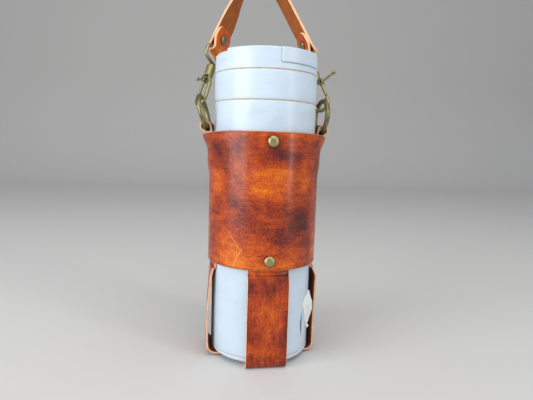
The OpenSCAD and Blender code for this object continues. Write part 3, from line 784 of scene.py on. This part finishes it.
# dye patches of the sleeve: angle, height, reach sideways, reach upwards, strength
SLEEVE_PATCHES = [
    (-62, 154, 15, 12, -0.6), (-34, 158, 16, 10, -0.35), (12, 153, 22, 8, -0.55),
    (60, 150, 12, 16, -0.4), (-64, 134, 10, 12, 0.4), (4, 141, 26, 5, 0.45),
    (-6, 128, 22, 6, 0.5), (38, 132, 12, 9, 0.55), (27, 108, 18, 10, -0.65),
    (10, 96, 14, 7, -0.5), (-28, 110, 16, 12, -0.4), (-48, 94, 12, 9, 0.45),
    (-5, 76, 50, 5, 0.4), (44, 90, 10, 12, -0.35), (-66, 112, 9, 10, -0.3),
    (0, 167, 50, 2.5, 0.3), (60, 82, 12, 6, 0.35), (-40, 81, 20, 6, 0.3),
]


def sleeve_tone(z, along):
    """Lightness of the sleeve's dye: its patches, and a darker border."""
    a = math.degrees(along / (sleeve_r + leather_t))
    total = 0
    for at, height, reach_a, reach_z, strength in SLEEVE_PATCHES:
        d = ((a - at) / reach_a) ** 2 + ((z - height) / reach_z) ** 2
        total += strength * math.exp(-d)
    border = min(z - sleeve_low, sleeve_top - z)
    return max(-1.2, min(1.2, total)) - 0.5 * (1 - smooth(border, 0, 2.2))


def build_sleeve():
    stations = []
    steps = 250
    for k in range(steps + 1):
        a = -179.5 + 359 * k / steps
        dip_a = SIDE_DIP * abs(sin_d(a)) ** 8
        end = smooth(179.5 - abs(a), 0, 2)

        def place(z, t, a=a, dip_a=dip_a, end=end):
            r = sleeve_r + sleeve_out(a, z) + t
            r += wobble(round_axis(a, 40, z), 24, 0.14) + 0.14
            r -= rivet_press(a, z, leather_t) * t / leather_t * end
            dip = dip_a * smooth(z, sleeve_top - 20, sleeve_top)
            sway = wobble((a / 14, 7, 1), 1.6, 0.12) * smooth(abs(z - 120), 30, 48)
            return round_axis(a, r, z - dip + sway)

        along = math.radians(a) * (sleeve_r + leather_t)
        stations.append((along, sleeve_low + 0.25, sleeve_top - 0.25, place))
    strip("sleeve_shown", stations, leather_t, 84, [sleeve_leather(), DYED_EDGE, SHADED_SUEDE],
          "holder", ["sleeve"], sleeve_tone, 0.45)


def hug_depth(u):
    """How far the bottle's wall falls back at u beside the middle of a strap."""
    return strap_r - math.sqrt(strap_r ** 2 - u ** 2)


STRAP_HALF_W = high("front_strap").x
ARM_OFF = 0.3    # how far a plain arm stands off the bottle's side


# Stations of an arm, as in the CAD: out from the axis, height, tilt, hug, half width, slope.
def arm_under(top, out):
    r = out - strap_r + 3.5
    rows = [(x, top, -90, 0, STRAP_HALF_W, 0) for x in (12, 24)]
    return rows + [(out - r + r * cos_d(a), top + r + r * sin_d(a), a, 0, STRAP_HALF_W, 0)
                   for a in range(-90, 1, 15)]


def arm_up(out, bow, ease, turned):
    """Up the side with a bow, closing in on the bottle from ease below the sleeve."""
    rows = []
    for z in np.arange(14, sleeve_low - 4 + 0.01, 6.8):
        x = out + bow * smooth(z, sleeve_low - 42, sleeve_low - 14)
        x += (strap_r - out - bow) * smooth(z, sleeve_low - ease, sleeve_low - 1)
        slope = turned * smooth(z, 6, 24) * (1 - smooth(z, sleeve_low - 34, sleeve_low - 8))
        rows.append((x, z, 0, smooth(z, sleeve_low - 8, sleeve_low - 1), STRAP_HALF_W, slope))
    return rows


def arm_in_sleeve(top):
    return [(strap_r, z, 0, 1, STRAP_HALF_W, 0) for z in (sleeve_low - 0.8, sleeve_low + 40, top)]


TAB_HALF_W = 6
LOOP_R = 2.9
PLY_OUT = strap_r + 2 * leather_t + tiny    # outer face of the doubled strap


def tab(slope):
    """The narrow end of a side strap, over its ring and back down inside the sleeve."""
    loop_out = strap_r + 1 + LOOP_R + leather_t
    loop_z = sleeve_top + 3
    reach = LOOP_R + leather_t
    rows = [(strap_r, sleeve_top - 9.5, 0, 1, 10.5, 0),
            (strap_r, sleeve_top - 7, 0, 1, TAB_HALF_W, 0),
            (strap_r + 0.5, sleeve_top - 3, 0, 0.8, TAB_HALF_W, slope / 3)]
    rows += [(loop_out + reach * cos_d(a), loop_z + reach * sin_d(a), a - 180, 0, TAB_HALF_W, slope)
             for a in np.arange(180, -1, -22.5)]
    down = [(6.4, 0.9, -198, 0, 0.8), (4.7, -0.9, -230, 0.4, 0.6), (2.5, -2.7, -235, 1, 0.2),
            (0.9, -4.4, -215, 1, 0), (0.1, -6.6, -192, 1, 0), (0, -9, -180, 1, 0),
            (0, -19, -180, 1, 0)]
    return rows + [(PLY_OUT + out, sleeve_top + z, tilt, hug, TAB_HALF_W, slope * share)
                   for out, z, tilt, hug, share in down]


def signed(rows, side):
    """Stations as numbers that can be blended from the left arm through to the right one."""
    return [(side * out, z, side * cos_d(tilt), sin_d(tilt), side * hug, slope, half)
            for out, z, tilt, hug, half, slope in rows]


def build_cross_strap(name, left, right, turn, materials, node, tone):
    """A strap that runs down one side of the bottle, under it and up the other side."""
    rows = spread(signed(left, -1)[::-1] + signed(right, 1), 1.3)
    stations, along = [], 0
    last = rows[0]
    for row in rows:
        x, z, tx, tz, hug, slope, half = row
        along += math.hypot(x - last[0], z - last[1])
        last = row
        size = math.hypot(tx, tz)

        def place(u, t, x=x, z=z, tx=tx / size, tz=tz / size, hug=hug, slope=slope):
            p = Vector((x - hug * hug_depth(u) + u * slope + t * tx, u, z + t * tz))
            return Matrix.Rotation(math.radians(turn), 3, "Z") @ p

        ease = wobble((along / 9, turn, 0), 1, 0.12)
        stations.append((along, -half + ease, half - ease, place))
    strip(name, stations, leather_t, 26, materials, "holder", [node], tone, 0.3)


def build_straps():
    """The two straps that cross under the bottle."""
    front_out = strap_r + ARM_OFF
    arm = arm_under(leather_t, front_out) + arm_up(front_out, 0, 12, 0) \
        + arm_in_sleeve(sleeve_top - 2.5)

    def front_dye_and_shade(u, along):
        # lighter at the left and darker towards the right, partly the dye and partly painted shade; darker along
        # the edges
        return 0.1 - 0.45 * smooth(u, -4, 14) + wobble((u, along, 0), 18, 0.5) \
            - 0.3 * (1 - smooth(STRAP_HALF_W - abs(u), 0, 2))

    build_cross_strap("front_strap_shown", arm, arm, -90,
                      [strap_leather("leather_front_strap", 0.21, -0.03), RAW_EDGE, SHADED_SUEDE],
                      "front_strap", front_dye_and_shade)
    left_slope = math.tan(math.radians(12))
    right_slope = -math.tan(math.radians(6))

    def side_arm(out, bow, ease, turned, slope):
        return arm_under(2 * leather_t, out) + arm_up(out, bow, ease, turned) \
            + arm_in_sleeve(sleeve_top - 12) + tab(slope)

    def side_tone(u, along):
        return -0.1 + wobble((u, along, 5), 20, 0.6)

    build_cross_strap("side_strap_shown", side_arm(strap_r + 2.3, 0, 45, 0.03, left_slope),
                      side_arm(strap_r + 1.2, 0.7, 12, 0, right_slope), 0,
                      [strap_leather("leather_side_strap", 0.37), RAW_EDGE, SHADED_SUEDE],
                      "side_strap", side_tone)


# ------------------------------------------------------------------- hardware
def welded(node):
    """A CAD node's mesh with the points that its faces share joined into one."""
    mesh = bmesh.new()
    mesh.from_mesh(frame["nodes"][node].data)
    bmesh.ops.remove_doubles(mesh, verts=mesh.verts, dist=1e-6)
    return mesh


def islands(node):
    """The separate solids of a CAD node: the points of each, in millimetres."""
    mesh = welded(node)
    left, found = set(mesh.verts), []
    while left:
        todo, part = [left.pop()], []
        while todo:
            v = todo.pop()
            part.append(v.co / MM)
            for e in v.link_edges:
                other = e.other_vert(v)
                if other in left:
                    left.remove(other)
                    todo.append(other)
        found.append(np.array(part))
    mesh.free()
    return found


def disc_of(points):
    """Centre and axis of a flat round solid."""
    axes = np.linalg.eigh(np.cov((points - points.mean(0)).T))[1]
    return Vector(points.mean(0)), Vector(axes[:, 0])


def build_caps(name, node, radius, height, outward, material, body):
    """Domed rivet caps on the places of the CAD caps. outward(centre, axis, others) picks the side."""
    crown = [(0, 1), (0.25, 0.985), (0.45, 0.92), (0.62, 0.8), (0.76, 0.64), (0.87, 0.45),
             (0.94, 0.3), (0.985, 0.16), (1, 0.06), (0.98, 0), (0.6, 0.0), (0, 0.0)]
    parts = [disc_of(p) for p in islands(node)]
    points, faces, wear = [], [], []
    around = 40
    for n, (centre, axis) in enumerate(parts):
        axis = outward(n, centre, axis, parts)
        turn = axis.to_track_quat("Z", "Y").to_matrix()
        foot = centre - axis * height * 0.42
        first = len(points)
        for a in range(0, 360, 360 // around):
            for r, h in crown:
                dent = wobble((r * 3 + n * 5, a / 70, h), 1, 0.05) * (1 - r)
                points.append(foot + turn @ Vector((radius * r * cos_d(a), radius * r * sin_d(a),
                                                    height * h + dent)))
                wear.append(0.25 + 0.6 * (1 - smooth(r, 0.75, 1.0)))
        ring = loops_to_faces(around, len(crown), True, first)
        faces += [f for m, f in enumerate(ring) if m % len(crown) != len(crown) - 1]
    make_object(name, points, faces, [material], body, [node], data={"wear": wear})


def sleeve_side(n, centre, axis, parts):
    out = Vector((centre.x, centre.y, 0))
    return axis if axis.dot(out) > 0 else -axis


def pair_side(n, centre, axis, parts):
    """Away from the other cap of the same rivet."""
    other = min((p[0] for m, p in enumerate(parts) if m != n), key=lambda c: (c - centre).length)
    return axis if axis.dot(centre - other) > 0 else -axis


def add_wear(obj):
    """Marks how far each point stands out from its neighbours, for the worn finish."""
    reach = 0.02 * MM
    mesh = bmesh.new()
    mesh.from_mesh(obj.data)
    values = []
    for v in mesh.verts:
        around = [e.other_vert(v).co for e in v.link_edges]
        mean = sum(around, Vector()) / max(1, len(around))
        values.append((v.co - mean).dot(v.normal))
    mesh.free()
    wear = np.clip(np.array(values) / reach + 0.4, 0, 1)
    layer = obj.data.attributes.new("wear", "FLOAT", "POINT")
    layer.data.foreach_set("value", wear.astype(np.float32))


def cast_piece(node, body, voxel, passes):
    """A cast and tumbled copy of a CAD node: the same shape with soft, slightly uneven edges."""
    mesh = bpy.data.meshes.new(node + "_cast")
    cleaner = welded(node)
    cleaner.to_mesh(mesh)
    cleaner.free()
    obj = add_object(node + "_cast", mesh)
    remesh = obj.modifiers.new("cast", "REMESH")
    remesh.mode = "VOXEL"
    remesh.voxel_size = voxel * MM
    soften = obj.modifiers.new("tumbled", "SMOOTH")
    soften.factor = 0.5
    soften.iterations = passes
    done = bpy.data.meshes.new_from_object(
        obj.evaluated_get(bpy.context.evaluated_depsgraph_get()))
    obj.modifiers.clear()
    obj.data = done
    done.materials.clear()
    done.materials.append(BRASS)
    shade_smooth(done)
    add_wear(obj)
    join_rig(obj, body, [node])


def build_ring(side, body):
    """A ring of round wire, with its wear varying at random along it."""
    name = "ring_" + side
    centre, axis = mount(name + "_eye")
    wire_r, ring_r = 1.8, 12.2
    across = axis.orthogonal().normalized()
    other = axis.cross(across)
    count = 120
    path = [centre + ring_r * (across * cos_d(360 * k / count) + other * sin_d(360 * k / count))
            for k in range(count)]
    radii = [wire_r + wobble((k / 9, len(side), 0), 1, 0.05) for k in range(count)]
    points, faces = tube_mesh(path, radii, 24, True)
    wear = [0.35 + 0.35 * wobble(p, 6, 1) for p in points]
    make_object(name + "_shown", points, faces, [BRASS], body, [name],
                data={"wear": wear})


def build_snaps():
    for side, body, trigger in (("left", "snap_l", "trigger_l"), ("right", "snap_r", "trigger_r")):
        cast_piece("hook_" + side, body, 0.26, 5)
        cast_piece("gate_" + side, trigger, 0.2, 4)
        cast_piece("eye_" + side, "bail", 0.24, 4)


# ------------------------------------------------------------------ carry strap
# Its route is the CAD's: each end goes round the bar of an eye, and its tail lies on the leg.
CARRY_T = 2
CARRY_HALF_W = 9.5
CROWN_R = 8        # inner radius of the bend at the top
WRAP_R = 1.75      # inner radius of the loop round a bar
TAIL_L = 21        # from the bar to the tail's tip
SNAP_TO_BAR = 41   # from the middle of a hook's bend to the far bar of its eye
hang = mount("strap_hang")[0]
LEAN = math.atan2(hang.y - pivot.y, hang.z - pivot.z)
CROWN = Vector((0, 0, (hang - pivot).length - CROWN_R))
LEANING = Matrix.Translation(pivot) @ Matrix.Rotation(-LEAN, 4, "X")
# each snap: the middle of its hook's bend in the strap's plane, its lean and its eye's turn
EYES = {"left": (Vector((-47.9, 0.6, 12)), 15, -30), "right": (Vector((44.6, 0, 11.5)), -8, 0)}


def leg_of(side):
    """Bar, side sign, slant, length and turn of one leg of the carry strap, in its plane."""
    bend, lean, turn = EYES[side]
    bar = bend + SNAP_TO_BAR * Vector((sin_d(lean), 0, cos_d(lean)))
    dx, dz = abs(bar.x - CROWN.x), CROWN.z - bar.z
    slant = math.atan2(dx, dz) - math.asin(CROWN_R / math.hypot(dx, dz))
    return bar, (-1 if side == "left" else 1), slant, math.sqrt(dx ** 2 + dz ** 2 - CROWN_R ** 2), turn


# stations of an end: off the leg, along it, tilt, half width
TAIL_STEPS = [(-0.05, TAIL_L, 180, 2.0), (-0.05, TAIL_L - 0.25, 180, 3.9),
              (-0.05, TAIL_L - 0.8, 180, 5.6), (-0.05, TAIL_L - 1.8, 180, 7.1),
              (-0.05, TAIL_L - 3.2, 180, 8.4), (-0.05, TAIL_L - 5, 180, 9.1),
              (-0.05, TAIL_L - 7, 180, 9.4), (-0.05, 8.5, 180, 9.4),
              (-0.5, 6, 188, 9), (-1.4, 2.8, 192, 8.1)]
LEG_STEPS = [(1.4, 2.8, -12, 8.1), (0.5, 6, -8, 9)] + \
    [(0.05, d, 0, CARRY_HALF_W) for d in (9, 20, 32, 44, 56)]


def strap_rows(side):
    """One end of the carry strap and its leg: place, face, width direction and half width."""
    bar, sign, slant, total, eye_turn = leg_of(side)
    wraps = [(WRAP_R * cos_d(a), WRAP_R * sin_d(a), a, 7.8) for a in range(180, 361, 30)]
    rows = []
    for n, d, angle, half in TAIL_STEPS + wraps + LEG_STEPS:
        turn = math.radians(sign * eye_turn * (1 - smooth(d, 24, total - 6)))
        out = Vector((sign * math.cos(turn) * math.cos(slant), math.sin(turn),
                      math.cos(turn) * math.sin(slant)))
        wide = Vector((-sign * math.sin(turn) * math.cos(slant), math.cos(turn),
                       -math.sin(turn) * math.sin(slant)))
        up = Vector((-sign * math.sin(slant), 0, math.cos(slant)))
        foot = bar + n * out + d * up
        rows.append((*foot, *(cos_d(angle) * out + sin_d(angle) * up), *wide, half))
    return rows


def build_carry_strap():
    left, right = strap_rows("left"), strap_rows("right")
    from_a = 180 - math.degrees(leg_of("left")[2])
    to_a = math.degrees(leg_of("right")[2])
    crown = []
    for k in range(9):
        a = from_a + (to_a - from_a) * k / 8
        ray = Vector((cos_d(a), 0, sin_d(a)))
        crown.append((*(CROWN + CROWN_R * ray), *ray, 0, 1, 0, CARRY_HALF_W))
    rows = left + crown + right[::-1]
    # x and z come first, because spread measures its steps in the first two numbers
    refined = spread([(x, z, y, *rest) for x, y, z, *rest in rows], 1.2)
    stations, along, last = [], 0, refined[0]
    for row in refined:
        x, z, y, nx, ny, nz, wx, wy, wz, half = row
        along += math.hypot(x - last[0], z - last[1])
        last = row
        foot = Vector((x, y, z))
        normal, wide = Vector((nx, ny, nz)).normalized(), Vector((wx, wy, wz)).normalized()

        def place(u, t, foot=foot, normal=normal, wide=wide):
            return LEANING @ (foot + wide * u + normal * t)

        ease = wobble((along / 7, 3, 0), 1, 0.12)
        stations.append((along, -half + ease, half - ease, place))

    def tone(u, along):
        return 0.25 + wobble((u, along, 9), 16, 0.7) \
            - 0.3 * (1 - smooth(CARRY_HALF_W - abs(u), 0, 1.5))

    strip("carry_strap_shown", stations, CARRY_T, 18,
          [strap_leather("leather_carry_strap", 0.55, 0.03), RAW_EDGE, SUEDE],
          "bail", ["carry_strap"], tone, 0.25)


# ------------------------------------------------------------ what CAD makes as is
def dress_cad():
    """Finishes for the CAD nodes that show as they are, or hardly show."""
    finishes = {
        "inner_wall": STEEL, "lid_plug": WHITE, "lid_seal": RUBBER,
        "sleeve_rivet_posts": BRASS, "loop_rivets": BRASS, "strap_rivet_posts": DARK_BRASS,
        "gate_pin_left": DARK_BRASS, "gate_pin_right": DARK_BRASS,
    }
    for node, material in finishes.items():
        mesh = frame["nodes"][node].data
        mesh.materials.clear()
        mesh.materials.append(material)


# ---------------------------------------------------------------- floor and light
def build_stage():
    """A pale floor that curves up into a backdrop."""
    across, bend = 24, 0.5
    rows = [(-1.6 + 0.25 * k, 0.0) for k in range(13)]
    rows += [(1.4 + bend * sin_d(a), bend - bend * cos_d(a)) for a in range(9, 91, 9)]
    rows += [(1.9, 0.5 + 0.25 * k) for k in range(1, 9)]
    points = [(-3 + 6 * j / across, y, z) for y, z in rows for j in range(across + 1)]
    wide = across + 1
    faces = [(i * wide + j, i * wide + j + 1, (i + 1) * wide + j + 1, (i + 1) * wide + j)
             for i in range(len(rows) - 1) for j in range(across)]
    mesh = bpy.data.meshes.new("backdrop")
    mesh.from_pydata(points, [], faces)
    shade_smooth(mesh)
    paint = Shader("backdrop", Roughness=0.85, Base_Color=(0.62, 0.61, 0.59, 1))
    mesh.materials.append(paint.material)
    add_object("backdrop", mesh)


def area_light(name, angle, distance, height, wide, tall, power, colour=(1, 1, 1), aim=0.12):
    """A softbox at an angle round the bottle from the front, facing it."""
    lamp = bpy.data.lights.new(name, "AREA")
    lamp.shape = "RECTANGLE"
    lamp.size, lamp.size_y = wide, tall
    lamp.energy = power
    lamp.color = colour
    obj = add_object(name, lamp)
    obj.location = round_axis(angle, distance, height)
    towards = Vector((0, 0, aim)) - obj.location
    obj.rotation_mode = "QUATERNION"
    obj.rotation_quaternion = towards.to_track_quat("-Z", "Y")


def build_lights():
    area_light("window", -61, 0.95, 0.34, 0.62, 0.9, 8.5, (0.96, 0.98, 1.0), 0.2)
    area_light("slit", 48, 0.95, 0.46, 0.13, 0.9, 2.4, (1.0, 0.99, 0.97), 0.3)
    area_light("overhead", 10, 0.5, 1.25, 1.1, 1.1, 7.5, (0.98, 0.99, 1.0))
    world = bpy.data.worlds.new("studio")
    bpy.context.scene.world = world
    world.use_nodes = True
    background = world.node_tree.nodes["Background"]
    background.inputs["Color"].default_value = (0.93, 0.96, 1.0, 1)
    background.inputs["Strength"].default_value = 0.5


def build_camera():
    camera = bpy.data.cameras.new("camera")
    camera.sensor_width = 36
    camera.lens = 29.7
    camera.clip_start = 0.01
    obj = add_object("camera", camera)
    place = (-0.05122, -0.33472, 0.15534 + base_z * MM)
    yaw, pitch, roll = -9.21, 90 - 6.77, 1.78
    obj.matrix_world = (
        Matrix.Translation(place)
        @ Matrix.Rotation(math.radians(yaw), 4, "Z")
        @ Matrix.Rotation(math.radians(pitch), 4, "X")
        @ Matrix.Rotation(math.radians(roll), 4, "Z"))
    bpy.context.scene.camera = obj


bpy.context.scene.view_settings.view_transform = "Standard"
build_camera()
build_stage()
build_lights()
build_bottle()
build_base_cap()
build_skirt()
build_seams()
build_lid_top()
build_pad()
build_leaf()
build_tear()
build_roll()
build_sleeve()
build_straps()
build_caps("sleeve_rivets_shown", "sleeve_rivet_caps", 4.0, 1.6, sleeve_side, BRASS, "holder")
build_ring("left", "ring_l")
build_ring("right", "ring_r")
build_snaps()
build_carry_strap()
build_caps("strap_rivets_shown", "strap_rivet_caps", 3.75, 1.5, pair_side, DARK_BRASS, "bail")
dress_cad()
